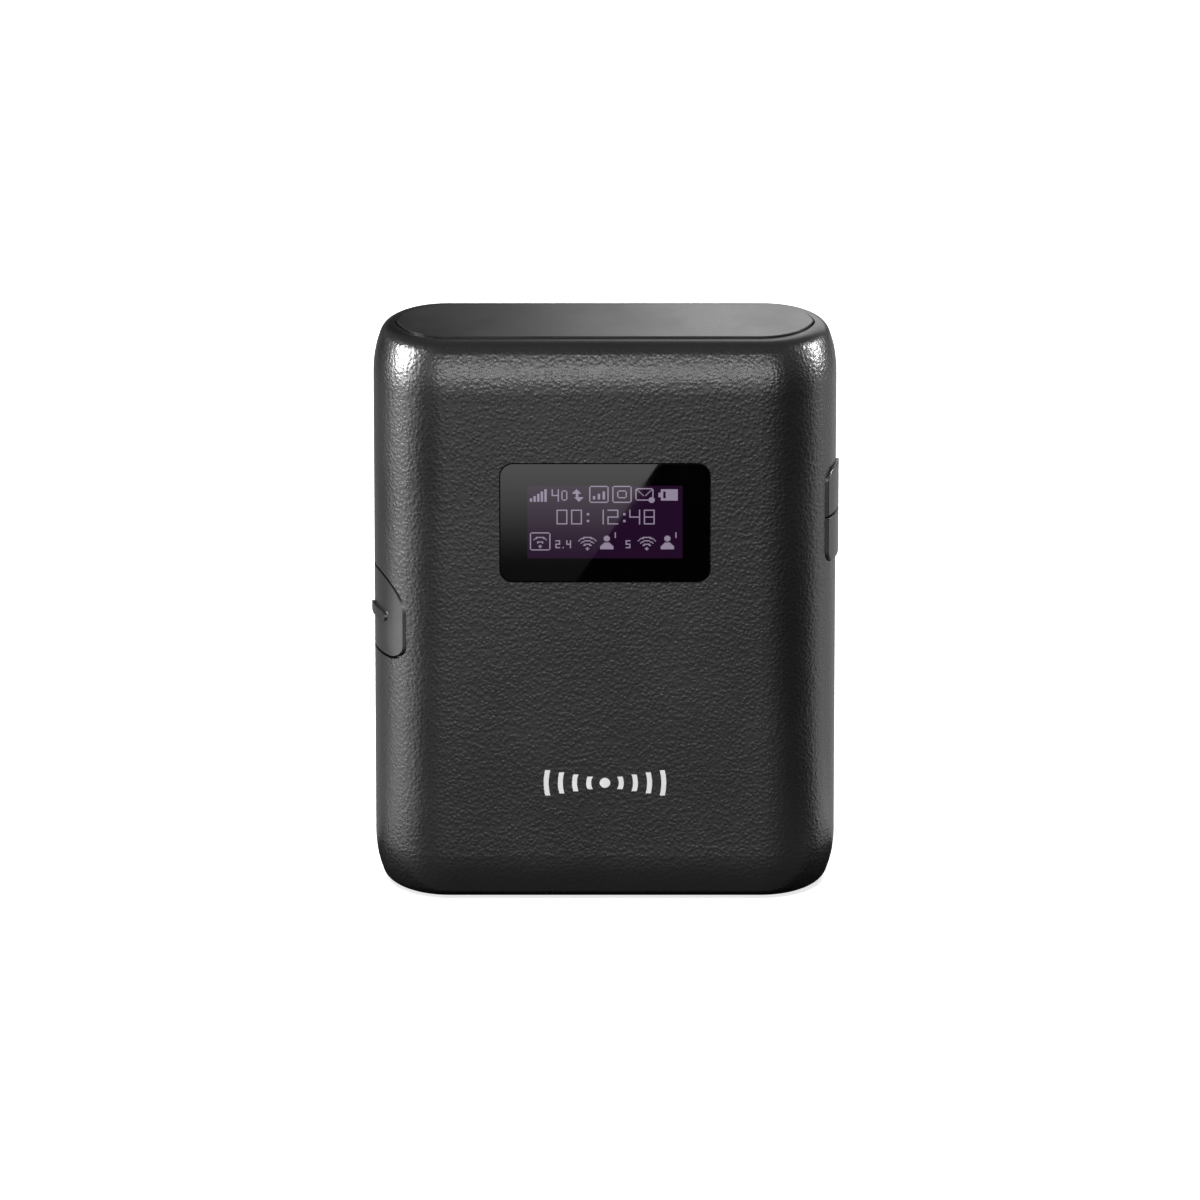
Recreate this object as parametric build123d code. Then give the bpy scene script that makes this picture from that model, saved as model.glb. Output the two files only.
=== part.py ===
from build123d import *
import math
import os

os.makedirs("parts", exist_ok=True)

# Pocket mobile hotspot, in millimetres.
# X runs to the right, Y from the front face to the back, Z up. The origin is the centre of the
# bottom face, midway between front and back. The case stands upright on its bottom panel.

# ---- Case ------------------------------------------------------------------------------
WIDTH = 65.0            # side to side, over the round side walls
DEPTH = 21.0            # front face to back face, and the diameter of the round side walls
HEIGHT = 84.0           # bottom panel to top panel
WALL = 1.6              # case wall
OUTSIDE = 1.0           # how far cuts start outside the surface they cut
LEAN_INSET = 1.6        # how far the walls lean in at the top and bottom ends
LEAN_RISE = 7.0         # height over which they lean in
EDGE_ROUND = 2.2        # between a leaning wall and the flat end
SEAM_LEAD = 0.8         # seam of the rear cover, behind the battery's front face
SEAM_GAP = 0.06
LIP_WALL = 0.8          # tongue of the rear cover inside the front shell
LIP_REACH = 0.8
LIP_FIT = 0.1
LIP_ROOT = 1.6          # how far the tongue runs back along the cover's wall
NAIL_NOTCH_WIDTH = 9.0  # thumbnail notch in the rear cover's edge
NAIL_NOTCH_SIZE = 0.7
NAIL_NOTCH_Z = 14.0

# ---- End panels ------------------------------------------------------------------------
PANEL_DEPTH = 13.4
PANEL_SIDE_LEAD = 0.5   # straight edges end this far inside the side walls' centres
PANEL_END_ARC = 7.8
PANEL_THICK = 1.2
PANEL_PROUD = 0.25
PANEL_GAP = 0.25
PANEL_EDGE = 0.12
PANEL_SLIP = 0.1        # extra recess depth in the sliding cover

# ---- Display ---------------------------------------------------------------------------
DISPLAY_DROP = 26.4     # lens centre below the top
LENS_WIDTH = 29.5
LENS_HEIGHT = 17.7
LENS_CORNER = 1.9
LENS_THICK = 0.8
LENS_SUNK = 0.05
LENS_GAP = 0.1
LENS_EDGE = 0.1
TAPE_THICK = 0.1
VIEW_WIDTH = 24.4       # opening in the wall behind the lens
VIEW_HEIGHT = 13.2
VIEW_CORNER = 1.0
OLED_WIDTH = 26.7
OLED_HEIGHT = 19.3
OLED_THICK = 1.4
OLED_DROP = 2.1         # glass centre below the lit area's centre
OLED_CORNER = 0.5
GASKET_THICK = 0.4
GASKET_RIM = 1.0
HOLDER_WALL = 0.8
HOLDER_GAP = 0.15
FLEX_WIDTH = 12.0
FLEX_THICK = 0.2
FLEX_LAP = 2.0          # length bonded to the glass
FLEX_BEND = 1.2
FLEX_DROP = 6.0         # from the glass's lower edge to the flex connector
CONNECTOR_WIDTH = 13.6
CONNECTOR_HEIGHT = 3.4
CONNECTOR_THICK = 1.1
CONNECTOR_SLOT = 0.3

# ---- Front mark: a dot with wave arcs on both sides ------------------------------------
MARK_Z = 18.4
MARK_DOT = 0.75
MARK_FIRST_ARC = 2.3
MARK_ARC_STEP = 2.0
MARK_ARCS = 4
MARK_STROKE = 0.7
MARK_FIRST_HEIGHT = 1.9
MARK_HEIGHT_STEP = 0.65
MARK_THICK = 0.2

# ---- Battery, frame and board stack, from the rear cover forwards ----------------------
BATTERY_AIR = 0.5       # behind the battery
BATTERY_THICK = 5.8
BATTERY_CORNER = 1.6
BATTERY_EDGE = 0.8
BATTERY_SEAT = 0.2
BATTERY_FIT = 0.3       # around the battery in its bay
BAY_SIDE_REACH = 1.3    # bay half width past the side walls' centres
BAY_BOTTOM = 4.3        # bay floor above the bottom
BAY_TOP_DROP = 18.1     # bay ceiling below the top
BAY_WALL = 0.8
BAY_WALL_REACH = 4.6    # bay walls behind the frame floor
PRY_WIDTH = 14.0        # finger notch in the bay wall
FRAME_FLOOR = 0.6
FRAME_GAP = 1.4         # frame edge inside the case wall
BOARD_CLEARANCE = 1.8   # frame floor to board
BOARD_THICK = 1.0
BOARD_SIDE_REACH = 6.0  # board half width past the side walls' centres
BOARD_END_MARGIN = 4.0
BOARD_CORNER = 3.0

# ---- Screws ----------------------------------------------------------------------------
SCREW_SIDE_REACH = 4.0  # past the side walls' centres
SCREW_END_MARGIN = 10.0
SCREW_RADIUS = 0.8
SCREW_BITE = 4.0        # thread in the shell boss
SCREW_HEAD_RADIUS = 1.3
SCREW_HEAD_THICK = 0.8
SCREW_FIT = 0.04
SCREW_SOCKET_RADIUS = 0.5
SCREW_SOCKET_DEPTH = 0.4
BOSS_RADIUS = 1.6

# ---- Port and its flap on the left side ------------------------------------------------
USB_WIDTH = 7.5
USB_THICK = 2.5
USB_LENGTH = 5.2
USB_SHEET = 0.3
USB_CORNER = 0.6
USB_FIT = 0.2
USB_SUNK = 0.5          # mouth below the pocket floor
USB_TONGUE_WIDTH = 4.6
USB_TONGUE_THICK = 0.6
USB_TONGUE_SHORT = 0.8  # tongue ends this far inside the mouth
FLAP_HEIGHT = 11.8
FLAP_FRONT_REACH = 6.0  # in front of the port's centre
FLAP_REAR_REACH = 4.4   # behind it
FLAP_CORNER = 2.0
FLAP_TOP_CORNER = 4.8   # upper front corner, rounder than the others
FLAP_THICK = 1.0
FLAP_GAP = 0.4
FLAP_AIR = 0.35         # under the flap
SEAT_THICK = 1.2        # extra wall behind the pocket
SEAT_MARGIN = 1.2
BARREL_RADIUS = 0.6
BARREL_DEPTH = 0.65     # hinge axis below the case surface
NUB_RADIUS = 0.3
NUB_FIT = 0.05
NUB_LENGTH = 0.8
NUB_END_PLAY = 0.1
RIDGE_HEIGHT = 1.5
RIDGE_LENGTH = 5.5
RIDGE_FRONT = 3.8       # ridge front end, in front of the port's centre
RIDGE_END_ROUND = 0.7
RIDGE_PROUD = 0.4
RIDGE_DROP = 0.3        # ridge below the flap's centre

# ---- Buttons on the right side ---------------------------------------------------------
BUTTONS_DROP = 27.5     # middle of the pair below the top
BUTTONS_HEIGHT = 14.1
BUTTONS_DEPTH = 7.2
BUTTONS_CORNER = 1.8
BUTTON_GAP = 0.15
BUTTON_SPLIT = 0.3
BUTTON_PROUD = 0.4
BUTTON_EDGE = 0.2
BUTTON_TRAVEL = 0.35
FLANGE_REACH = 0.8
FLANGE_THICK = 0.7
FLANGE_GAP = 0.1
STEM_SIZE = 1.8
SWITCH_LENGTH = 3.0
SWITCH_HEIGHT = 4.0
SWITCH_THICK = 2.0
PLUNGER_HEIGHT = 2.2
PLUNGER_THICK = 1.0
PLUNGER_REACH = 0.8     # plunger outside its switch
PLUNGER_ROOT = 0.6      # plunger inside its switch
PLUNGER_FIT = 0.08
STEM_LENGTH = 0.5

# ---- Parts on the back of the board ----------------------------------------------------
SIM_LENGTH = 15.0
SIM_HEIGHT = 12.0
SIM_THICK = 0.76
SIM_CUT = 2.0           # cut corner
SIM_CORNER = 0.6
SIM_FIT = 0.1
SIM_LEFT = -4.0
SIM_TRAVEL = 12.0
SIM_GRIP = 1.6          # card length outside its socket
SOCKET_WALL = 0.35
THUMB_RADIUS = 4.0      # thumb cut in the socket's mouth
SOCKET_TOP_DROP = 4.2   # socket's top edge below the top
CONTACT_X = -17.0
CONTACT_WIDTH = 10.0
CONTACT_HEIGHT = 2.7
CONTACT_REACH = 5.4     # from the board
CONTACT_PITCH = 2.8
CONTACTS = 3
BLADE_WIDTH = 1.2
BLADE_HEIGHT = 0.6
BLADE_REACH = 1.6
TOUCH_GAP = 0.05
PAD_WIDTH = 2.0
PAD_REACH = 2.4
PAD_THICK = 0.2
RESET_X = -12.0
RESET_DROP = 9.5
RESET_SIZE = 3.0
RESET_THICK = 1.2
RESET_RADIUS = 0.7
RESET_REACH = 0.5
RESET_ROOT = 0.5
RESET_TRAVEL = 0.25
RESET_HOLE = 1.1

# ---- Parts on the front of the board ---------------------------------------------------
SHIELD_LOW = 10.0       # lower edge of both shields
SHIELD_GAP = 0.6        # from their upper edge to the display's connector
BASEBAND_X = -9.0
BASEBAND_WIDTH = 26.0
WIFI_X = 14.5
WIFI_WIDTH = 18.0
SHIELD_HEIGHT = 1.9
SHIELD_SHEET = 0.2
CHIP_THICK = 0.9
BASEBAND_CHIP = (11.0, 11.0)
MEMORY_CHIP = (9.0, 7.5)
POWER_CHIP = (5.0, 5.0)
WIFI_CHIP = (8.0, 8.0)
CHIP_STEP = 11.5        # from one chip to the next under the large shield
POWER_DROP = 6.6        # power chip below the memory chip
ANTENNA_THICK = 0.2
MAIN_ANTENNA = (38.0, 7.0)
MAIN_ANTENNA_Z = 11.0
DIVERSITY_ANTENNA = (30.0, 6.0)
DIVERSITY_DROP = 10.4
WIFI_ANTENNA = (6.0, 14.0)
WIFI_ANTENNA_X = 18.5
WIFI_ANTENNA_DROP = 47.0
PIN_BARREL = 0.75
PIN_TIP = 0.4
PIN_STROKE = 1.4
PIN_INSET = 3.0         # spring pin from the antenna's end
PIN_EDGE = 1.0          # spring pin from the main antenna's lower edge

# ---- Derived positions -----------------------------------------------------------------
half_depth = DEPTH / 2
side_centre = WIDTH / 2 - half_depth
lean_radius = (LEAN_RISE**2 + LEAN_INSET**2) / (2 * LEAN_INSET)
shell_low = PANEL_PROUD
shell_high = HEIGHT - PANEL_PROUD
front_inner = -half_depth + WALL
battery_rear = half_depth - WALL - BATTERY_AIR
battery_front = battery_rear - BATTERY_THICK
floor_rear = battery_front - BATTERY_SEAT
floor_front = floor_rear - FRAME_FLOOR
board_rear = floor_front - BOARD_CLEARANCE
board_front = board_rear - BOARD_THICK
seam_y = battery_front + SEAM_LEAD
lens_z = HEIGHT - DISPLAY_DROP
lens_face = -half_depth + LENS_SUNK
lens_back = lens_face + LENS_THICK
tape_back = lens_back + TAPE_THICK
oled_z = lens_z - OLED_DROP
oled_front = front_inner + GASKET_THICK
oled_back = oled_front + OLED_THICK
port_y = board_front - USB_THICK / 2
port_z = HEIGHT / 2
switch_y = board_front - SWITCH_THICK / 2
buttons_z = HEIGHT - BUTTONS_DROP
bay_high = HEIGHT - BAY_TOP_DROP
bay_half = side_centre + BAY_SIDE_REACH
board_half = side_centre + BOARD_SIDE_REACH
screw_x = side_centre + SCREW_SIDE_REACH
screw_places = [
    (side * screw_x, z) for side in (-1, 1) for z in (SCREW_END_MARGIN, HEIGHT - SCREW_END_MARGIN)
]


# ---- Shape helpers ---------------------------------------------------------------------
def surface_x(y, depth):
    """Distance of the side wall from the middle plane, at Y and at a depth below the surface."""
    return side_centre + math.sqrt((half_depth - depth) ** 2 - y**2)


def pill(depth, edge_round=0.0):
    """The case's outer form, shrunk by a depth below its surface (or grown, if negative)."""
    radius = half_depth - depth
    arc = lean_radius - depth
    low = shell_low + depth
    high = shell_high - depth
    lean_low = shell_low + LEAN_RISE
    lean_high = shell_high - LEAN_RISE
    rise = lean_low - low
    end = half_depth - lean_radius + math.sqrt(arc**2 - rise**2)
    half_turn = math.asin(rise / arc) / 2
    bulge = half_depth - lean_radius + arc * math.cos(half_turn)
    bulge_rise = arc * math.sin(half_turn)
    outline = [
        Line((0, low), (end, low)),
        ThreePointArc((end, low), (bulge, lean_low - bulge_rise), (radius, lean_low)),
        Line((radius, lean_low), (radius, lean_high)),
        ThreePointArc((radius, lean_high), (bulge, lean_high + bulge_rise), (end, high)),
        Line((end, high), (0, high)),
        Line((0, high), (0, low)),
    ]
    half = make_face(outline)
    if edge_round:
        corners = [v for v in half.vertices() if abs(v.X - end) < 1e-4]
        half = fillet(corners, edge_round)
    upright = Plane(origin=(0, 0, 0), x_dir=(0, -1, 0), z_dir=(-1, 0, 0))
    half = upright * half
    front = extrude(half, side_centre, dir=(1, 0, 0), both=True)
    middle = front + mirror(front, Plane.XZ)
    right = Pos(side_centre, 0, 0) * revolve(half, Axis.Z, 180)
    return middle + right + mirror(right, Plane.YZ)


def skin(outer, inner):
    """The layer of the case between two depths below its surface."""
    return pill(outer) - pill(inner)


def slab_y(low, high):
    """Everything between two Y planes."""
    return Pos(0, (low + high) / 2, HEIGHT / 2) * Box(2 * WIDTH, high - low, 2 * HEIGHT)


def prism_x(low, high, y, z, size_y, size_z, corner=0.0):
    """A bar along X with a rounded rectangular section."""
    section = RectangleRounded(size_y, size_z, corner) if corner else Rectangle(size_y, size_z)
    return Pos(low, y, z) * (Plane.YZ * extrude(section, high - low))


def prism_y(low, high, x, z, size_x, size_z, corner=0.0):
    """A bar along Y with a rounded rectangular section."""
    section = RectangleRounded(size_x, size_z, corner) if corner else Rectangle(size_x, size_z)
    return Pos(x, high, z) * (Plane.XZ * extrude(section, high - low))


def rod_y(low, high, x, z, radius):
    return Pos(x, (low + high) / 2, z) * Rot(90, 0, 0) * Cylinder(radius, high - low)


def rod_z(low, high, x, y, radius):
    return Pos(x, y, (low + high) / 2) * Cylinder(radius, high - low)


def lozenge(grow):
    """Outline of an end panel: straight edges joined by two flat arcs that meet in a soft point."""
    straight = side_centre - PANEL_SIDE_LEAD
    half = PANEL_DEPTH / 2 + grow
    radius = PANEL_END_ARC + grow
    offset = PANEL_END_ARC - PANEL_DEPTH / 2
    tip = straight + math.sqrt(radius**2 - offset**2)
    middle_angle = (math.pi / 2 + math.asin(offset / radius)) / 2
    bulge_x = straight + radius * math.cos(middle_angle)
    bulge_y = radius * math.sin(middle_angle) - offset
    edges = []
    for side in (-1, 1):
        edges.append(Line((-straight, side * half), (straight, side * half)))
        for end in (-1, 1):
            start = (end * straight, side * half)
            edges.append(ThreePointArc(start, (end * bulge_x, side * bulge_y), (end * tip, 0)))
    return make_face(edges)


def lozenge_block(low, high, grow):
    return Pos(0, 0, low) * extrude(lozenge(grow), high - low)


def chip(size, x, z, base, height):
    """A flat block on the board's front face, from a base depth forwards."""
    return prism_y(base - height, base, x, z, size[0], size[1])


# ---- Front shell -----------------------------------------------------------------------
outer_form = pill(0, EDGE_ROUND)
inner_form = pill(WALL)
case_walls = outer_form - inner_form

flap_front = port_y - FLAP_FRONT_REACH
flap_rear = port_y + FLAP_REAR_REACH
flap_y = (flap_front + flap_rear) / 2
flap_depth = flap_rear - flap_front
hinge_y = flap_rear - BARREL_RADIUS
hinge_x = -surface_x(hinge_y, BARREL_DEPTH)
pocket_depth = FLAP_THICK + FLAP_AIR
usb_mouth = -surface_x(port_y, pocket_depth) + USB_SUNK


def left_zone(grow, corner):
    """The flap's outline as a bar through the left wall, grown by a margin."""
    size_y = flap_depth + 2 * grow
    size_z = FLAP_HEIGHT + 2 * grow
    top_corner = FLAP_TOP_CORNER + grow
    zone = prism_x(-WIDTH, -side_centre, flap_y, port_z, size_y, size_z, corner)
    return zone & prism_x(
        -WIDTH, -side_centre, flap_y + top_corner, port_z - top_corner,
        size_y + 2 * top_corner, size_z + 2 * top_corner, top_corner,
    )


def pocket_zone():
    """The flap's pocket, squared off beside the hinge so that the flap's ends swing clear."""
    rear = flap_rear + FLAP_GAP
    bay = prism_x(
        -WIDTH, -side_centre, (hinge_y + rear) / 2, port_z, rear - hinge_y, FLAP_HEIGHT,
    )
    return left_zone(FLAP_GAP, FLAP_CORNER + FLAP_GAP) + bay


def right_zone(grow, corner):
    """The button window's outline as a bar through the right wall, grown by a margin."""
    size_y = BUTTONS_DEPTH + 2 * grow
    size_z = BUTTONS_HEIGHT + 2 * grow
    return prism_x(side_centre, WIDTH, switch_y, buttons_z, size_y, size_z, corner)


def end_recesses(slip):
    """Recesses for the two end panels, deeper by a slip where the cover slides past them."""
    depth = PANEL_THICK - PANEL_PROUD + slip
    low = lozenge_block(shell_low - OUTSIDE, shell_low + depth, PANEL_GAP)
    high = lozenge_block(shell_high - depth, shell_high + OUTSIDE, PANEL_GAP)
    return low + high


def mark_pieces(y_low, y_high):
    """A dot with growing arcs to its left and right."""
    pieces = rod_y(y_low, y_high, 0, MARK_Z, MARK_DOT)
    for step in range(MARK_ARCS):
        radius = MARK_FIRST_ARC + step * MARK_ARC_STEP
        height = MARK_FIRST_HEIGHT + step * MARK_HEIGHT_STEP
        ring = rod_y(y_low, y_high, 0, MARK_Z, radius + MARK_STROKE / 2)
        ring -= rod_y(y_low, y_high, 0, MARK_Z, radius - MARK_STROKE / 2)
        ring &= prism_y(y_low, y_high, 0, MARK_Z, 3 * radius, height)
        pieces += ring
    return pieces


def front_shell():
    shell = case_walls & slab_y(-DEPTH, seam_y)
    shell += skin(WALL / 2, WALL + SEAT_THICK) & left_zone(SEAT_MARGIN, FLAP_CORNER)
    for x, z in screw_places:
        boss = rod_y(-half_depth, board_front, x, z, BOSS_RADIUS)
        shell += boss & pill(WALL / 2)
    holder_outer = prism_y(
        front_inner, oled_back, 0, oled_z,
        OLED_WIDTH + 2 * (HOLDER_GAP + HOLDER_WALL),
        OLED_HEIGHT + 2 * (HOLDER_GAP + HOLDER_WALL),
    )
    holder_inner = prism_y(
        front_inner, oled_back, 0, oled_z,
        OLED_WIDTH + 2 * HOLDER_GAP,
        OLED_HEIGHT + 2 * HOLDER_GAP,
    )
    shell += holder_outer - holder_inner
    shell -= end_recesses(0)
    shell -= prism_y(
        -DEPTH, tape_back, 0, lens_z,
        LENS_WIDTH + 2 * LENS_GAP, LENS_HEIGHT + 2 * LENS_GAP, LENS_CORNER + LENS_GAP,
    )
    shell -= prism_y(-DEPTH, front_inner, 0, lens_z, VIEW_WIDTH, VIEW_HEIGHT, VIEW_CORNER)
    shell -= mark_pieces(-half_depth - MARK_THICK, -half_depth + MARK_THICK)
    shell -= skin(-OUTSIDE, pocket_depth) & pocket_zone()
    shell -= prism_x(
        -WIDTH, -side_centre, port_y, port_z,
        USB_THICK + 2 * USB_FIT, USB_WIDTH + 2 * USB_FIT, USB_CORNER + USB_FIT,
    )
    nub_reach = FLAP_HEIGHT / 2 + NUB_LENGTH + NUB_END_PLAY
    shell -= rod_z(port_z - nub_reach, port_z + nub_reach, hinge_x, hinge_y, NUB_RADIUS + NUB_FIT)
    shell -= right_zone(0, BUTTONS_CORNER)
    for x, z in screw_places:
        shell -= rod_y(board_front - SCREW_BITE - SCREW_FIT, board_front, x, z, SCREW_RADIUS + SCREW_FIT)
    return shell


# ---- Rear cover ------------------------------------------------------------------------
def rear_cover():
    start = seam_y + SEAM_GAP
    cover = case_walls & slab_y(start, DEPTH)
    root = skin(WALL / 2, WALL + LIP_FIT + LIP_WALL) & slab_y(start, start + LIP_ROOT)
    tongue = skin(WALL + LIP_FIT, WALL + LIP_FIT + LIP_WALL) & slab_y(start - LIP_REACH, start)
    tongue -= left_zone(SEAT_MARGIN + LIP_FIT, FLAP_CORNER)
    cover += root + tongue
    cover -= end_recesses(PANEL_SLIP)
    notch = prism_x(
        side_centre, WIDTH, start, NAIL_NOTCH_Z, 2 * NAIL_NOTCH_SIZE, NAIL_NOTCH_WIDTH,
    )
    cover -= notch & skin(-OUTSIDE, NAIL_NOTCH_SIZE)
    return cover


# ---- End panels ------------------------------------------------------------------------
def end_panel():
    """The lower panel, face down at Z = 0."""
    panel = lozenge_block(0, PANEL_THICK, 0)
    rim = panel.faces().sort_by(Axis.Z)[0].edges()
    return chamfer(rim, PANEL_EDGE)


# ---- Display ---------------------------------------------------------------------------
def display_lens():
    lens = prism_y(lens_face, lens_back, 0, lens_z, LENS_WIDTH, LENS_HEIGHT, LENS_CORNER)
    rim = lens.faces().sort_by(Axis.Y)[0].edges()
    return chamfer(rim, LENS_EDGE)


def lens_tape():
    tape = prism_y(lens_back, tape_back, 0, lens_z, LENS_WIDTH, LENS_HEIGHT, LENS_CORNER)
    return tape - prism_y(lens_back, tape_back, 0, lens_z, VIEW_WIDTH, VIEW_HEIGHT, VIEW_CORNER)


def oled_gasket():
    size_x = OLED_WIDTH - 2 * HOLDER_GAP
    size_z = OLED_HEIGHT - 2 * HOLDER_GAP
    gasket = prism_y(front_inner, oled_front, 0, oled_z, size_x, size_z)
    inner_x = OLED_WIDTH - 2 * GASKET_RIM
    inner_z = OLED_HEIGHT - 2 * GASKET_RIM
    return gasket - prism_y(front_inner, oled_front, 0, oled_z, inner_x, inner_z)


def oled_panel():
    return prism_y(oled_front, oled_back, 0, oled_z, OLED_WIDTH, OLED_HEIGHT, OLED_CORNER)


oled_low = oled_z - OLED_HEIGHT / 2
connector_z = oled_low - FLEX_DROP
connector_front = board_front - CONNECTOR_THICK
flex_end_y = (board_front + connector_front) / 2


def oled_flex():
    """Ribbon from the back of the glass down to its connector, past the holder's lower wall."""
    start_y = oled_back + FLEX_THICK / 2
    path = FilletPolyline(
        (0, start_y, oled_low + FLEX_LAP),
        (0, start_y, oled_low - FLEX_BEND),
        (0, flex_end_y, connector_z + CONNECTOR_HEIGHT + FLEX_BEND),
        (0, flex_end_y, connector_z),
        radius=FLEX_BEND,
    )
    section = Plane(origin=path @ 0, x_dir=(1, 0, 0), z_dir=path % 0) * Rectangle(FLEX_WIDTH, FLEX_THICK)
    return sweep(section, path)


def oled_connector():
    block = prism_y(
        connector_front, board_front, 0, connector_z, CONNECTOR_WIDTH, CONNECTOR_HEIGHT,
    )
    slot_low = connector_z
    slot_high = connector_z + CONNECTOR_HEIGHT
    slot = Pos(0, flex_end_y, (slot_low + slot_high) / 2) * Box(
        FLEX_WIDTH + CONNECTOR_SLOT, FLEX_THICK + CONNECTOR_SLOT / 2, slot_high - slot_low,
    )
    return block - slot


# ---- Mid frame, board and screws -------------------------------------------------------
contact_low = bay_high - BATTERY_FIT + TOUCH_GAP
socket_high = HEIGHT - SOCKET_TOP_DROP
slot_height = SIM_HEIGHT + 2 * SIM_FIT
socket_low = socket_high - slot_height - 2 * SOCKET_WALL
sim_z = (socket_low + socket_high) / 2
sim_front = board_rear + SOCKET_WALL + SIM_FIT
socket_rear = sim_front + SIM_THICK + SIM_FIT + SOCKET_WALL
socket_left = SIM_LEFT - SIM_FIT - SOCKET_WALL
socket_right = SIM_LEFT + SIM_LENGTH - SIM_GRIP
reset_z = HEIGHT - RESET_DROP


def mid_frame():
    frame = pill(WALL + FRAME_GAP) & slab_y(floor_front, floor_rear)
    bay_z = (BAY_BOTTOM + bay_high) / 2
    bay_height = bay_high - BAY_BOTTOM
    wall_rear = floor_rear + BAY_WALL_REACH
    ring = prism_y(
        floor_rear, wall_rear, 0, bay_z, 2 * (bay_half + BAY_WALL), bay_height + 2 * BAY_WALL,
        BATTERY_CORNER + BAY_WALL,
    )
    ring -= prism_y(floor_rear, wall_rear, 0, bay_z, 2 * bay_half, bay_height, BATTERY_CORNER)
    frame += ring
    for x, z in screw_places:
        frame += rod_y(board_rear, floor_front, x, z, BOSS_RADIUS)
    for x, z in screw_places:
        frame -= rod_y(board_rear, floor_rear, x, z, SCREW_RADIUS + SCREW_FIT)
    window_left = socket_left - BATTERY_FIT
    window_right = SIM_LEFT + SIM_LENGTH + SIM_TRAVEL + 2 * SIM_FIT
    window_low = bay_high + BAY_WALL
    window_high = socket_high + SIM_FIT
    frame -= prism_y(
        floor_front, floor_rear, (window_left + window_right) / 2, (window_low + window_high) / 2,
        window_right - window_left, window_high - window_low, SIM_CORNER,
    )
    frame -= prism_y(
        floor_front, wall_rear, CONTACT_X, contact_low + CONTACT_HEIGHT / 2,
        CONTACT_WIDTH + 2 * BATTERY_FIT, CONTACT_HEIGHT + 2 * BATTERY_FIT,
    )
    frame -= rod_y(floor_front, floor_rear, RESET_X, reset_z, RESET_HOLE)
    frame -= prism_y(
        floor_rear + BAY_WALL, wall_rear, 0, BAY_BOTTOM - BAY_WALL, PRY_WIDTH, 4 * BAY_WALL,
    )
    return frame


def main_board():
    size_z = HEIGHT - 2 * BOARD_END_MARGIN
    board = prism_y(board_front, board_rear, 0, HEIGHT / 2, 2 * board_half, size_z, BOARD_CORNER)
    for x, z in screw_places:
        board -= rod_y(board_front, board_rear, x, z, SCREW_RADIUS + SCREW_FIT)
    return board


def frame_screws():
    screws = Part()
    for x, z in screw_places:
        screw = rod_y(board_front - SCREW_BITE, floor_rear, x, z, SCREW_RADIUS)
        head = rod_y(floor_rear, floor_rear + SCREW_HEAD_THICK, x, z, SCREW_HEAD_RADIUS)
        head_rear = floor_rear + SCREW_HEAD_THICK
        socket = rod_y(head_rear - SCREW_SOCKET_DEPTH, head_rear, x, z, SCREW_SOCKET_RADIUS)
        screws += screw + head - socket
    return screws


# ---- Port and flap ---------------------------------------------------------------------
def usb_port_shell():
    back_end = usb_mouth + USB_LENGTH
    block = prism_x(usb_mouth, back_end, port_y, port_z, USB_THICK, USB_WIDTH, USB_CORNER)
    hollow = prism_x(
        usb_mouth, back_end - USB_SHEET, port_y, port_z,
        USB_THICK - 2 * USB_SHEET, USB_WIDTH - 2 * USB_SHEET, USB_CORNER - USB_SHEET,
    )
    return block - hollow


def usb_port_tongue():
    low = usb_mouth + USB_TONGUE_SHORT
    high = usb_mouth + USB_LENGTH - USB_SHEET
    return prism_x(low, high, port_y, port_z, USB_TONGUE_THICK, USB_TONGUE_WIDTH)


def port_flap():
    plate = (outer_form - pill(FLAP_THICK)) & left_zone(0, FLAP_CORNER) & slab_y(-DEPTH, hinge_y)
    half_height = FLAP_HEIGHT / 2
    barrel_half = half_height - FLAP_CORNER / 2
    flap = plate + rod_z(port_z - barrel_half, port_z + barrel_half, hinge_x, hinge_y, BARREL_RADIUS)
    nub_half = half_height + NUB_LENGTH
    flap += rod_z(port_z - nub_half, port_z + nub_half, hinge_x, hinge_y, NUB_RADIUS)
    ridge_zone = prism_x(
        -WIDTH, -side_centre, port_y - RIDGE_FRONT + RIDGE_LENGTH / 2, port_z - RIDGE_DROP,
        RIDGE_LENGTH, RIDGE_HEIGHT, RIDGE_END_ROUND,
    )
    flap += skin(-RIDGE_PROUD, FLAP_THICK / 2) & ridge_zone
    return flap


# ---- Buttons and switches --------------------------------------------------------------
flange_front = WALL + FLANGE_GAP
flange_back = flange_front + FLANGE_THICK
stem_tip = surface_x(switch_y, flange_back) - STEM_LENGTH
switch_right = stem_tip - PLUNGER_REACH
cap_height = (BUTTONS_HEIGHT - BUTTON_SPLIT) / 2 - BUTTON_GAP


def button_z(side):
    """Centre of the upper (side 1) or lower (side -1) button."""
    return buttons_z + side * (BUTTON_SPLIT + cap_height) / 2


def half_zone(side, overhang):
    """The half of the button window that one button fills, with room for its flange."""
    low = BUTTON_SPLIT / 2
    high = BUTTONS_HEIGHT / 2 + overhang
    middle = buttons_z + side * (low + high) / 2
    return Pos((side_centre + WIDTH) / 2, switch_y, middle) * Box(
        WIDTH - side_centre, BUTTONS_DEPTH + 2 * overhang, high - low,
    )


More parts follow.
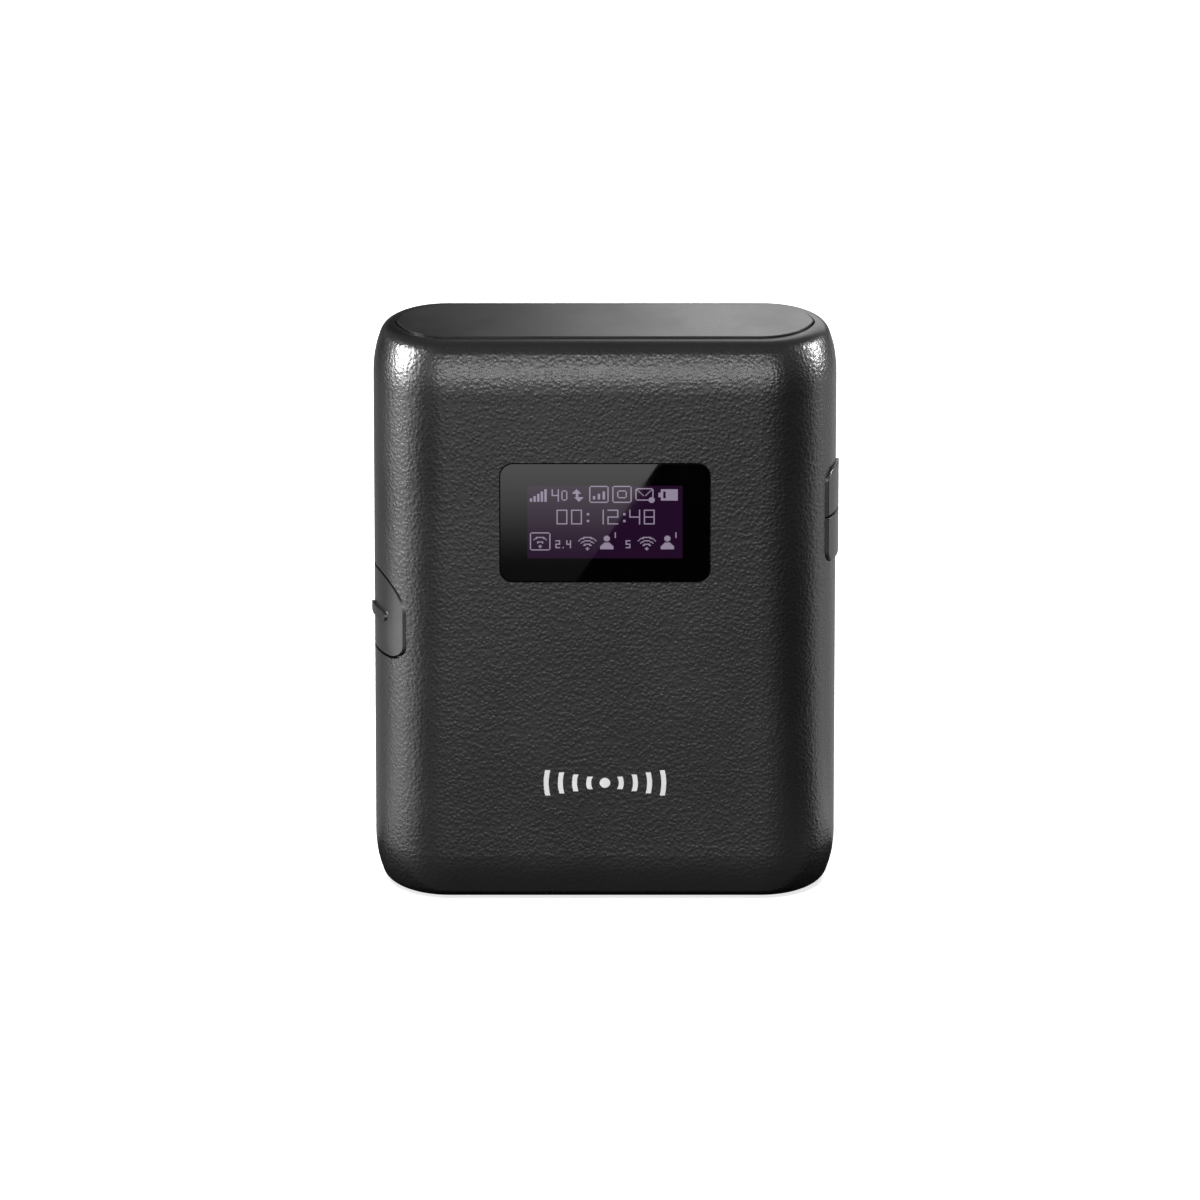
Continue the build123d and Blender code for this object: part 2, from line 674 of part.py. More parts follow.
def button(side):
    cap = skin(-BUTTON_PROUD, flange_back) & right_zone(-BUTTON_GAP, BUTTONS_CORNER - BUTTON_GAP)
    cap &= half_zone(side, 0)
    face = cap.faces().sort_by(Axis.X)[-1]
    cap = fillet(face.edges(), BUTTON_EDGE)
    flange = skin(flange_front, flange_back) & right_zone(FLANGE_REACH, BUTTONS_CORNER)
    flange &= half_zone(side, FLANGE_REACH)
    stem_root = surface_x(switch_y, flange_back) + FLANGE_THICK / 2
    stem = prism_x(stem_tip, stem_root, switch_y, button_z(side), STEM_SIZE, STEM_SIZE)
    return cap + flange + stem


def switch_body(side):
    body = prism_x(
        switch_right - SWITCH_LENGTH, switch_right, switch_y, button_z(side),
        SWITCH_THICK, SWITCH_HEIGHT,
    )
    hole_depth = PLUNGER_ROOT + BUTTON_TRAVEL + PLUNGER_FIT
    return body - prism_x(
        switch_right - hole_depth, switch_right, switch_y, button_z(side),
        PLUNGER_THICK + 2 * PLUNGER_FIT, PLUNGER_HEIGHT + 2 * PLUNGER_FIT,
    )


def switch_plunger(side):
    return prism_x(
        switch_right - PLUNGER_ROOT, stem_tip, switch_y, button_z(side),
        PLUNGER_THICK, PLUNGER_HEIGHT,
    )


def reset_switch():
    top = board_rear + RESET_THICK
    body = prism_y(board_rear, top, RESET_X, reset_z, RESET_SIZE, RESET_SIZE)
    hole_depth = RESET_ROOT + RESET_TRAVEL + PLUNGER_FIT
    return body - rod_y(top - hole_depth, top, RESET_X, reset_z, RESET_RADIUS + PLUNGER_FIT)


def reset_plunger():
    top = board_rear + RESET_THICK
    return rod_y(top - RESET_ROOT, top + RESET_REACH, RESET_X, reset_z, RESET_RADIUS)


# ---- Battery and its contacts ----------------------------------------------------------
battery_low = BAY_BOTTOM + BATTERY_FIT
battery_high = bay_high - BATTERY_FIT
battery_y = (battery_front + battery_rear) / 2
contact_places = [
    CONTACT_X + (index - (CONTACTS - 1) / 2) * CONTACT_PITCH for index in range(CONTACTS)
]
blade_y = board_rear + CONTACT_REACH - BLADE_REACH


def pads_at(x, grow):
    return Pos(x, blade_y, battery_high - PAD_THICK / 2) * Box(PAD_WIDTH, PAD_REACH, PAD_THICK + grow)


def battery_pack():
    pack = prism_y(
        battery_front, battery_rear, 0, (battery_low + battery_high) / 2,
        2 * (bay_half - BATTERY_FIT), battery_high - battery_low, BATTERY_CORNER - BATTERY_FIT,
    )
    rims = pack.faces().filter_by(Axis.Y).edges()
    pack = fillet(rims, BATTERY_EDGE)
    for x in contact_places:
        pack -= pads_at(x, 0)
    return pack


def battery_terminals():
    pads = Part()
    for x in contact_places:
        pads += pads_at(x, 0)
    return pads


def battery_contacts():
    low = contact_low + BLADE_HEIGHT
    high = contact_low + CONTACT_HEIGHT
    place = Pos(CONTACT_X, board_rear + CONTACT_REACH / 2, (low + high) / 2)
    return place * Box(CONTACT_WIDTH, CONTACT_REACH, high - low)


def contact_blades():
    blades = Part()
    for x in contact_places:
        place = Pos(x, blade_y, contact_low + BLADE_HEIGHT / 2)
        blades += place * Box(BLADE_WIDTH, BLADE_REACH, BLADE_HEIGHT)
    return blades


# ---- SIM card --------------------------------------------------------------------------
def sim_socket():
    block = prism_y(
        board_rear, socket_rear, (socket_left + socket_right) / 2, sim_z,
        socket_right - socket_left, socket_high - socket_low,
    )
    slot_right = socket_right + SIM_GRIP
    slot = prism_y(
        sim_front - SIM_FIT, sim_front + SIM_THICK + SIM_FIT,
        (SIM_LEFT - SIM_FIT + slot_right) / 2, sim_z,
        slot_right - SIM_LEFT + SIM_FIT, slot_height,
    )
    thumb = rod_y(sim_front + SIM_THICK, socket_rear, socket_right, sim_z, THUMB_RADIUS)
    return block - slot - thumb


def sim_card():
    card = prism_y(
        sim_front, sim_front + SIM_THICK, SIM_LEFT + SIM_LENGTH / 2, sim_z,
        SIM_LENGTH, SIM_HEIGHT, SIM_CORNER,
    )
    corner = Pos(SIM_LEFT, sim_front + SIM_THICK / 2, sim_z + SIM_HEIGHT / 2)
    cut = corner * Rot(0, 45, 0) * Box(
        SIM_CUT * math.sqrt(2), 2 * SIM_THICK, SIM_CUT * math.sqrt(2),
    )
    return card - cut


# ---- Shields and antennas --------------------------------------------------------------
shield_high = connector_z - CONNECTOR_HEIGHT / 2 - SHIELD_GAP
shield_z = (SHIELD_LOW + shield_high) / 2


def shield(width, x):
    outer = (width, shield_high - SHIELD_LOW)
    inner = (outer[0] - 2 * SHIELD_SHEET, outer[1] - 2 * SHIELD_SHEET)
    can = chip(outer, x, shield_z, board_front, SHIELD_HEIGHT)
    return can - chip(inner, x, shield_z, board_front, SHIELD_HEIGHT - SHIELD_SHEET)


memory_x = BASEBAND_X - CHIP_STEP / 2
baseband_x = BASEBAND_X + CHIP_STEP / 2
chips_height = (MEMORY_CHIP[1] + POWER_CHIP[1]) / 2 + POWER_DROP
memory_z = shield_z + (chips_height - MEMORY_CHIP[1]) / 2
power_z = memory_z - POWER_DROP
diversity_z = HEIGHT - DIVERSITY_DROP
wifi_antenna_z = HEIGHT - WIFI_ANTENNA_DROP
antenna_back = front_inner + ANTENNA_THICK


def antenna(size, x, z):
    return prism_y(front_inner, antenna_back, x, z, size[0], size[1])


def spring_pin(x, z):
    barrel = rod_y(antenna_back + PIN_STROKE, board_front, x, z, PIN_BARREL)
    return barrel + rod_y(antenna_back, antenna_back + PIN_STROKE, x, z, PIN_TIP)


def antenna_pins():
    places = [
        (-MAIN_ANTENNA[0] / 2 + PIN_INSET, MAIN_ANTENNA_Z - MAIN_ANTENNA[1] / 2 + PIN_EDGE),
        (-DIVERSITY_ANTENNA[0] / 2 + PIN_INSET, diversity_z),
        (-WIFI_ANTENNA_X, wifi_antenna_z + PIN_INSET),
        (WIFI_ANTENNA_X, wifi_antenna_z + PIN_INSET),
    ]
    pins = Part()
    for x, z in places:
        pins += spring_pin(x, z)
    return pins


# ---- Every piece, by name --------------------------------------------------------------
bottom_panel = end_panel()
top_panel = mirror(bottom_panel, Plane.XY.offset(HEIGHT / 2))
pieces = {
    "front_shell": front_shell(),
    "rear_cover": rear_cover(),
    "top_panel": top_panel,
    "bottom_panel": bottom_panel,
    "front_mark": mark_pieces(-half_depth, -half_depth + MARK_THICK),
    "display_lens": display_lens(),
    "lens_tape": lens_tape(),
    "oled_gasket": oled_gasket(),
    "oled_panel": oled_panel(),
    "oled_flex": oled_flex(),
    "oled_connector": oled_connector(),
    "mid_frame": mid_frame(),
    "main_board": main_board(),
    "frame_screws": frame_screws(),
    "usb_port_shell": usb_port_shell(),
    "usb_port_tongue": usb_port_tongue(),
    "port_flap": port_flap(),
    "power_button": button(1),
    "power_switch": switch_body(1),
    "power_plunger": switch_plunger(1),
    "menu_button": button(-1),
    "menu_switch": switch_body(-1),
    "menu_plunger": switch_plunger(-1),
    "reset_switch": reset_switch(),
    "reset_plunger": reset_plunger(),
    "battery_pack": battery_pack(),
    "battery_terminals": battery_terminals(),
    "battery_contacts": battery_contacts(),
    "contact_blades": contact_blades(),
    "sim_socket": sim_socket(),
    "sim_card": sim_card(),
    "baseband_shield": shield(BASEBAND_WIDTH, BASEBAND_X),
    "wifi_shield": shield(WIFI_WIDTH, WIFI_X),
    "baseband_chip": chip(BASEBAND_CHIP, baseband_x, shield_z, board_front, CHIP_THICK),
    "memory_chip": chip(MEMORY_CHIP, memory_x, memory_z, board_front, CHIP_THICK),
    "power_chip": chip(POWER_CHIP, memory_x, power_z, board_front, CHIP_THICK),
    "wifi_chip": chip(WIFI_CHIP, WIFI_X, shield_z, board_front, CHIP_THICK),
    "main_antenna": antenna(MAIN_ANTENNA, 0, MAIN_ANTENNA_Z),
    "diversity_antenna": antenna(DIVERSITY_ANTENNA, 0, diversity_z),
    "wifi_antennas": antenna(WIFI_ANTENNA, -WIFI_ANTENNA_X, wifi_antenna_z)
    + antenna(WIFI_ANTENNA, WIFI_ANTENNA_X, wifi_antenna_z),
    "antenna_pins": antenna_pins(),
}
for name, piece in pieces.items():
    export_step(piece, f"parts/{name}.step")
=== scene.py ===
import math
from typing import NamedTuple

import bmesh
import bpy
from bpy.props import FloatProperty, FloatVectorProperty, PointerProperty
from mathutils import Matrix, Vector


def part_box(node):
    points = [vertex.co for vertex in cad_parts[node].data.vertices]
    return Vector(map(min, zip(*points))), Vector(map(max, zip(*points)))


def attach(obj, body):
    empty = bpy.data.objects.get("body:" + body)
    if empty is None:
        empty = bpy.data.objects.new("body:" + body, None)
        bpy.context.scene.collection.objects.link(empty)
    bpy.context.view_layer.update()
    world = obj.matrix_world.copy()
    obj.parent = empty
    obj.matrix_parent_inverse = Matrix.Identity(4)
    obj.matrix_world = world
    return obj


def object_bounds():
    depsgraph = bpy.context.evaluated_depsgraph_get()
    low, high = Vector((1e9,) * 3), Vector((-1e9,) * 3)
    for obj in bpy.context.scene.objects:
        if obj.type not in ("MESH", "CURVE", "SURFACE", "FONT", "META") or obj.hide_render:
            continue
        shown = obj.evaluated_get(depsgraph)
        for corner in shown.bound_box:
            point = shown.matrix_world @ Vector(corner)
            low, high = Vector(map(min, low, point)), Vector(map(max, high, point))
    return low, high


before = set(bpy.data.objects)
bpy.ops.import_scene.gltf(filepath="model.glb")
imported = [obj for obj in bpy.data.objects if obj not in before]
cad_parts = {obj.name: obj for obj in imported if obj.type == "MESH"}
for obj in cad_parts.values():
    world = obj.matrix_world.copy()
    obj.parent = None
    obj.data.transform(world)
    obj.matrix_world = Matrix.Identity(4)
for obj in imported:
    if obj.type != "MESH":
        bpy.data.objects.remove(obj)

bl_info = {
    "name": "Pocket Hotspot",
    "version": (1, 0, 0),
    "blender": (4, 5, 0),
    "location": "View3D > Sidebar > Hotspot",
    "description": "Finishes, display picture and studio for a pocket mobile hotspot",
    "category": "Object",
}

MM = 0.001
WHITE = (1, 1, 1, 1)
BLACK = (0, 0, 0, 1)
CAD_BOX = [list(corner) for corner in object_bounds()]
FRONT, BACK, TOP = CAD_BOX[0][1], CAD_BOX[1][1], CAD_BOX[1][2]
CASE_LOW, CASE_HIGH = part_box("front_shell")
LENS_LOW, LENS_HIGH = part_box("display_lens")


# ---- Settings a user would change ----------------------------------------------------------------

class HotspotFinish(bpy.types.PropertyGroup):
    """Colours and surface sizes of the case"""
    # The dark colour is the leather's own, and also painted shade in the creases between the pebbles.
    leather_dark_and_crease_shade: FloatVectorProperty(
        name="Leather, dark", description="Case colour in the creases", subtype="COLOR",
        size=3, min=0, max=1, default=(0.004, 0.004, 0.0042))
    leather_light: FloatVectorProperty(
        name="Leather, light", description="Case colour on the pebbles", subtype="COLOR",
        size=3, min=0, max=1, default=(0.0085, 0.0085, 0.0087))
    pebble: FloatProperty(
        name="Pebble size", description="Width of one pebble of the grain",
        default=0.54 * MM, min=0.2 * MM, max=3 * MM, unit="LENGTH")
    grain_depth: FloatProperty(
        name="Grain depth", description="Height of the pebbles above the creases",
        default=0.029 * MM, min=0, max=0.3 * MM, unit="LENGTH")
    smooth_rim: FloatProperty(
        name="Smooth rim", description="Height of the plain rim at each end of the case",
        default=0.9 * MM, min=0, max=5 * MM, unit="LENGTH")
    panel: FloatVectorProperty(
        name="End panels", description="Colour of the end panels", subtype="COLOR",
        size=3, min=0, max=1, default=(0.013, 0.013, 0.0133))
    trim: FloatVectorProperty(
        name="Flap and buttons", description="Colour of the flap and the buttons", subtype="COLOR",
        size=3, min=0, max=1, default=(0.012, 0.012, 0.0123))
    mark: FloatVectorProperty(
        name="Front mark", description="Colour of the printed mark", subtype="COLOR",
        size=3, min=0, max=1, default=(0.95, 0.95, 0.95))


class HotspotDisplay(bpy.types.PropertyGroup):
    """The lit picture behind the lens"""
    lit_width: FloatProperty(
        name="Lit width", description="Width of the lit area", default=21.74 * MM,
        min=5 * MM, max=28 * MM, unit="LENGTH")
    lit_height: FloatProperty(
        name="Lit height", description="Height of the lit area", default=10.86 * MM,
        min=3 * MM, max=17 * MM, unit="LENGTH")
    lit_rise: FloatProperty(
        name="Lit area rise", description="Middle of the lit area above the middle of the lens",
        default=0.1 * MM, min=-3 * MM, max=3 * MM, unit="LENGTH")
    glow: FloatVectorProperty(
        name="Background glow", description="Colour of the unlit dots", subtype="COLOR",
        size=3, min=0, max=1, default=(0.0168, 0.0037, 0.0212))
    dots: FloatVectorProperty(
        name="Lit dots", description="Colour of the lit dots", subtype="COLOR",
        size=3, min=0, max=1, default=(0.30, 0.25, 0.34))
    layer: FloatProperty(
        name="Layer", description="Thickness of the picture's layers", default=0.008 * MM,
        min=0.001 * MM, max=0.02 * MM, unit="LENGTH")


class HotspotStudio(bpy.types.PropertyGroup):
    """Camera and lights"""
    camera_height: FloatProperty(
        name="Camera angle", description="Angle of the camera above the object",
        default=math.radians(21), min=0, max=1.5, subtype="ANGLE")
    camera_distance: FloatProperty(
        name="Camera distance", description="From the lens to the middle of the object",
        default=2.0, min=0.3, max=10, unit="LENGTH")
    left_power: FloatProperty(
        name="Left light", description="Power of the left softbox",
        default=46.0, min=0, unit="POWER")
    right_power: FloatProperty(
        name="Right light", description="Power of the right strip",
        default=22.0, min=0, unit="POWER")
    front_power: FloatProperty(
        name="Front light", description="Power of the low front light",
        default=32.0, min=0, unit="POWER")
    back_power: FloatProperty(
        name="Back light", description="Power of the light behind",
        default=16.0, min=0, unit="POWER")
    high_power: FloatProperty(
        name="High light", description="Power of the light overhead",
        default=44.0, min=0, unit="POWER")
    left_glow: FloatProperty(
        name="Left floor card", description="Brightness of the card that lights the left wall",
        default=1.8, min=0)
    right_glow: FloatProperty(
        name="Right floor card", description="Brightness of the card that lights the right wall",
        default=1.4, min=0)
    near_glow: FloatProperty(
        name="Near floor card", description="Brightness of the card at the foot of the front",
        default=0.26, min=0)
    rear_glow: FloatProperty(
        name="Rear floor card", description="Brightness of the card at the foot of the back",
        default=0.8, min=0)
    fill: FloatProperty(
        name="Surround", description="Strength of the pale surround",
        default=0.25, min=0)
    floor_glow: FloatProperty(
        name="Floor glow", description="Brightness of the lit floor",
        default=0.75, min=0)
    top_dark: FloatProperty(
        name="Top card, left", description="Brightness of the left end of the card over the end panel",
        default=0.0, min=0)
    top_bright: FloatProperty(
        name="Top card, right", description="Brightness of the right end of the card over the end panel",
        default=2.2, min=0)
    streak_power: FloatProperty(
        name="Streak", description="Brightness of the streak card's far end",
        default=1.9, min=0)
    streak_near: FloatProperty(
        name="Streak start", description="From the front face to the card's near edge",
        default=118 * MM, unit="LENGTH")
    streak_far: FloatProperty(
        name="Streak end", description="From the front face to the card's far edge",
        default=250 * MM, unit="LENGTH")
    streak_edge_near: FloatProperty(
        name="Near edge", description="Right end of the streak card's near edge",
        default=-6.0 * MM, unit="LENGTH")
    streak_edge_far: FloatProperty(
        name="Far edge", description="Right end of the streak card's far edge",
        default=26.7 * MM, unit="LENGTH")


def settings(name):
    """The finish, display or studio settings of the scene."""
    return getattr(bpy.context.scene, "hotspot_" + name)


# ---- Material building ---------------------------------------------------------------------------

class Nodes:
    """A short way to build one node material."""

    def __init__(self, name):
        self.material = bpy.data.materials.new(name)
        self.material.use_nodes = True
        self.tree = self.material.node_tree
        self.shader = self.tree.nodes["Principled BSDF"]
        self.place = self.add("ShaderNodeTexCoord").outputs["Object"]

    def add(self, kind, **values):
        node = self.tree.nodes.new(kind)
        for key, value in values.items():
            setattr(node, key, value)
        return node

    def link(self, source, target):
        self.tree.links.new(source, target)

    def put(self, value, socket):
        """Sets a socket to a number, or links it to what another node gives."""
        if isinstance(value, (int, float)):
            socket.default_value = value
        else:
            self.link(value, socket)

    def noise(self, size, detail, roughness=0.55, place=None, output="Fac"):
        node = self.add("ShaderNodeTexNoise")
        node.inputs["Scale"].default_value = 1 / size
        node.inputs["Detail"].default_value = detail
        node.inputs["Roughness"].default_value = roughness
        self.link(place or self.place, node.inputs["Vector"])
        return node.outputs[output]

    def warped(self, size, reach):
        """The place, pushed about by soft noise so that cells lose their straight edges."""
        node = self.add("ShaderNodeVectorMath", operation="MULTIPLY_ADD")
        self.link(self.noise(size, 2, 0.5, output="Color"), node.inputs[0])
        node.inputs[1].default_value = (reach, reach, reach)
        self.link(self.place, node.inputs[2])
        return node.outputs[0]

    def cells(self, size, place):
        """How far it is to the middle of the nearest cell."""
        node = self.add("ShaderNodeTexVoronoi", feature="F1")
        node.inputs["Scale"].default_value = 1 / size
        self.link(place, node.inputs["Vector"])
        return node.outputs["Distance"]

    def multiply(self, first, second, plus=0.0):
        node = self.add("ShaderNodeMath", operation="MULTIPLY_ADD")
        for socket, value in zip(node.inputs, (first, second, plus)):
            self.put(value, socket)
        return node.outputs[0]

    def spread(self, value, low, high, to_low=0.0, to_high=1.0):
        """Turns the stretch from low to high smoothly into the stretch from to_low to to_high."""
        node = self.add("ShaderNodeMapRange", interpolation_type="SMOOTHSTEP")
        self.link(value, node.inputs["Value"])
        limits = {"From Min": low, "From Max": high, "To Min": to_low, "To Max": to_high}
        for name, number in limits.items():
            node.inputs[name].default_value = number
        return node.outputs["Result"]

    def colours(self, value, first, second):
        node = self.add("ShaderNodeValToRGB")
        node.color_ramp.elements[0].color = (*first, 1)
        node.color_ramp.elements[1].color = (*second, 1)
        self.link(value, node.inputs["Fac"])
        return node.outputs["Color"]

    def along(self, axis):
        """The place's coordinate along X, Y or Z."""
        node = self.add("ShaderNodeSeparateXYZ")
        self.link(self.place, node.inputs[0])
        return node.outputs[axis]

    def bumps(self, height, distance, strength):
        node = self.add("ShaderNodeBump")
        node.inputs["Distance"].default_value = distance
        self.put(strength, node.inputs["Strength"])
        self.link(height, node.inputs["Height"])
        return node.outputs["Normal"]

    def finish(self, colour=None, roughness=None, normal=None, **constants):
        """Links what varies, and sets what is the same all over on the shader's own sockets."""
        varying = {"Base Color": colour, "Roughness": roughness, "Normal": normal}
        for name, output in varying.items():
            if output is not None:
                self.link(output, self.shader.inputs[name])
        for name, value in constants.items():
            self.shader.inputs[name.replace("_", " ")].default_value = value
        return self.material


def shaded(colour, share):
    """A colour made darker or lighter by a share of itself."""
    return tuple(min(1, share * part) for part in colour)


def leather():
    """Moulded leather grain: rounded pebbles with creases, plain near the two ends; painted shade
    darkens the creases.
    """
    finish = settings("finish")
    pebble, rim = finish.pebble, finish.smooth_rim
    pebble_edge = 0.85                     # from a pebble's middle to its crease, in pebbles
    wrinkle_share, broad_share = 0.7, 0.4  # of a pebble's height
    rough_low, rough_high = 0.33, 0.37     # in the creases, worn and unworn
    pebble_polish = 0.05                   # pebbles are that much smoother than the creases

    make = Nodes("leather_grain")
    place = make.warped(2.2 * pebble, 0.8 * pebble)
    pebbles = make.spread(make.cells(pebble, place), 0.0, pebble_edge, 1, 0)
    broad = make.noise(3.5 * pebble, 2)
    wrinkles = make.noise(0.8 * pebble, 2, place=place)
    relief = make.multiply(wrinkles, wrinkle_share, plus=pebbles)
    relief = make.multiply(broad, broad_share, plus=relief)

    z = make.along("Z")
    upper = make.spread(z, CASE_HIGH.z - rim, CASE_HIGH.z - 0.3 * rim, 1, 0)
    lower = make.spread(z, CASE_LOW.z + 0.3 * rim, CASE_LOW.z + rim)
    normal = make.bumps(relief, finish.grain_depth, make.multiply(upper, lower))

    # Colour: half a tone that differs at random, half painted shade that darkens the creases between the
    # pebbles.
    tone_and_crease_shade = make.multiply(broad, 0.5, plus=make.multiply(pebbles, 0.5))
    wear = make.spread(make.noise(14 * MM, 4), 0.3, 0.7, rough_low, rough_high)
    return make.finish(
        make.colours(tone_and_crease_shade, finish.leather_dark_and_crease_shade, finish.leather_light),
        make.multiply(pebbles, -pebble_polish, plus=wear), normal)


def moulded(name, colour, rough, grain, depth):
    """Spark-eroded plastic, rubber or film, with a grain of a given width and depth."""
    make = Nodes(name)
    blotch = make.noise(9 * MM, 4)
    return make.finish(
        make.colours(blotch, shaded(colour, 0.82), shaded(colour, 1.12)),
        make.spread(blotch, 0.3, 0.7, rough - 0.04, rough + 0.05),
        make.bumps(make.noise(grain, 3), depth, 0.6))


def metal(name, colour, rough):
    """Plated or brushed sheet with fine drawn lines across it."""
    drawn = (1, 1, 12)
    make = Nodes(name)
    stretch = make.add("ShaderNodeMapping")
    stretch.inputs["Scale"].default_value = drawn
    make.link(make.place, stretch.inputs["Vector"])
    lines = make.noise(0.6 * MM, 4, place=stretch.outputs[0])
    return make.finish(
        make.colours(make.noise(5 * MM, 3), shaded(colour, 0.8), colour),
        make.spread(lines, 0.3, 0.7, rough - 0.08, rough + 0.1),
        make.bumps(lines, 0.003 * MM, 0.5), Metallic=1.0)


def solder_mask():
    """Green board coating with copper runs showing faintly through it."""
    coating_dark, coating_light = (0.004, 0.045, 0.022, 1), (0.006, 0.06, 0.03, 1)
    copper_run = (0.02, 0.1, 0.045, 1)
    look = {
        "Color1": coating_dark, "Color2": coating_light, "Mortar": copper_run,
        "Scale": 260, "Mortar Size": 0.03}
    make = Nodes("solder_mask")
    runs = make.add("ShaderNodeTexBrick")
    for name, value in look.items():
        runs.inputs[name].default_value = value
    upright = make.add("ShaderNodeMapping")
    upright.inputs["Rotation"].default_value = (math.pi / 2, 0, 0)
    make.link(make.place, upright.inputs["Vector"])
    make.link(upright.outputs[0], runs.inputs["Vector"])
    return make.finish(
        runs.outputs["Color"], make.spread(make.noise(2 * MM, 3), 0.3, 0.7, 0.28, 0.4),
        make.bumps(runs.outputs["Fac"], 0.01 * MM, 0.4))


def polished(name, colour, glow=None):
    """Hard polished window plastic with a few faint wipe marks, lit from behind where it glows."""
    make = Nodes(name)
    wipes = make.noise(4 * MM, 5, 0.6)
    if glow is not None:
        dots = make.noise(0.35 * MM, 1)
        lit = make.colours(dots, shaded(glow, 0.8), glow)
        make.link(lit, make.shader.inputs["Emission Color"])
        make.shader.inputs["Emission Strength"].default_value = 1.0
    return make.finish(
        make.colours(wipes, shaded(colour, 0.7), colour),
        make.spread(wipes, 0.35, 0.8, 0.015, 0.05), make.bumps(wipes, 0.0006 * MM, 0.1))


def give(material, *nodes):
    """Puts a material on parts of the frame."""
    for name in nodes:
        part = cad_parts[name]
        part.data.materials.clear()
        part.data.materials.append(material)


# ---- Mesh building -------------------------------------------------------------------------------

def add_block(work, low, high):
    """A closed block between two corners."""
    corners = [
        work.verts.new((x, y, z))
        for x in (low[0], high[0]) for y in (low[1], high[1]) for z in (low[2], high[2])
    ]
    sides = ((0, 1, 3, 2), (4, 6, 7, 5), (0, 4, 5, 1), (2, 3, 7, 6), (0, 2, 6, 4), (1, 5, 7, 3))
    for side in sides:
        work.faces.new([corners[index] for index in side])


def block_piece(name, blocks, material, body):
    """Makes one piece of closed blocks, each given by two corners, and lets it ride on a body."""
    work = bmesh.new()
    for low, high in blocks:
        add_block(work, low, high)
    bmesh.ops.recalc_face_normals(work, faces=work.faces)
    mesh = bpy.data.meshes.new(name)
    work.to_mesh(mesh)
    work.free()
    mesh.materials.append(material)
    piece = bpy.data.objects.new(name, mesh)
    bpy.context.collection.objects.link(piece)
    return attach(piece, body)


# ---- The display picture -------------------------------------------------------------------------

GRID_WIDTH, GRID_HEIGHT = 128, 64
TIME_ON_LINE = "00:12:48"
WAVES = (4, 7, 10)          # radii of a wave fan's arcs, in dots
SEGMENTS = {
    "0": "abcdef", "1": "bc", "2": "abged", "3": "abgcd", "4": "fgbc",
    "5": "afgcd", "6": "afgedc", "7": "abc", "8": "abcdefg", "9": "abcdfg",
}


class Picture:
    """A dot matrix that is drawn on with simple shapes; row 0 is at the top."""

    def __init__(self):
        self.lit = set()

    def bar(self, left, top, width, height):
        for x in range(left, left + width):
            for y in range(top, top + height):
                self.lit.add((x, y))

    def clear(self, left, top, width, height):
        for x in range(left, left + width):
            for y in range(top, top + height):
                self.lit.discard((x, y))

    def frame(self, left, top, width, height):
        """A box one dot thick with rounded corners."""
        self.bar(left, top, width, height)
        self.clear(left + 1, top + 1, width - 2, height - 2)
        for x in (left, left + width - 1):
            for y in (top, top + height - 1):
                self.lit.discard((x, y))

    def steps(self, left, bottom, count, pitch):
        """Signal bars that grow by two dots each."""
        for step in range(count):
            height = 3 + 2 * step
            self.bar(left + pitch * step, bottom - height, 2, height)

    def arrowhead(self, x, top, reaches):
        """Rows that widen or narrow, each reaching as far as given on both sides."""
        for row, reach in enumerate(reaches):
            self.bar(x - reach, top + row, 2 * reach + 1, 1)

    def digit(self, value, left, top, width, height):
        """A seven-segment digit, one dot thick."""
        half = height // 2
        right = left + width - 1
        strokes = {
            "a": (left, top, width, 1),
            "g": (left, top + half, width, 1),
            "d": (left, top + height - 1, width, 1),
            "f": (left, top, 1, half + 1),
            "b": (right, top, 1, half + 1),
            "e": (left, top + half, 1, height - half),
            "c": (right, top + half, 1, height - half),
        }
        for name in SEGMENTS[value]:
            self.bar(*strokes[name])

    def disc(self, x, y, radius):
        reach = math.ceil(radius)
        for column in range(int(x) - reach, int(x) + reach + 2):
            for row in range(int(y) - reach, int(y) + reach + 2):
                if math.hypot(column - x, row - y) <= radius:
                    self.lit.add((column, row))

    def fan(self, x, y, radii, spread):
        """Wave arcs above a dot."""
        self.disc(x, y, 1)
        reach = math.ceil(max(radii)) + 1
        for column in range(int(x) - reach, int(x) + reach + 1):
            for row in range(int(y) - reach, int(y) + 1):
                away = math.hypot(column - x, row - y)
                angle = abs(math.atan2(column - x, y - row))
                if angle <= spread and any(abs(away - radius) <= 0.55 for radius in radii):
                    self.lit.add((column, row))

    def person(self, x, top):
        """Head and shoulders."""
        self.disc(x, top + 3, 2.6)
        self.arrowhead(x, top + 7, (2, 3, 4, 5, 5, 5))


def draw_status(picture):
    """Upper row: signal, network generation, transfer arrows, signs, message and battery."""
    picture.steps(left=2, bottom=14, count=5, pitch=3)
    picture.digit("4", 20, 3, 6, 11)
    picture.frame(28, 4, 5, 9)
    picture.arrowhead(40, 3, (0, 1, 2, 3))
    picture.bar(40, 6, 2, 4)
    picture.arrowhead(42, 10, (3, 2, 1, 0))
    picture.frame(51, 0, 16, 15)
    picture.steps(left=54, bottom=12, count=3, pitch=4)
    picture.frame(70, 0, 16, 15)
    picture.frame(74, 4, 8, 7)
    draw_envelope(picture, 89, 2)
    draw_battery(picture, 108, 3)


def draw_envelope(picture, left, top):
    """An envelope whose flap comes down from both upper corners, with a dot for a new message."""
    width, height = 15, 11
    picture.frame(left, top, width, height)
    for step in range(1, 7):
        picture.bar(left + step, top + step, 1, 1)
        picture.bar(left + width - 1 - step, top + step, 1, 1)
    picture.disc(left + 13, top + 10, 2.5)


def draw_battery(picture, left, top):
    """A full battery with its tip on the left and one slit."""
    picture.bar(left, top + 3, 2, 4)
    picture.bar(left + 2, top, 14, 10)
    picture.clear(left + 4, top + 2, 2, 6)


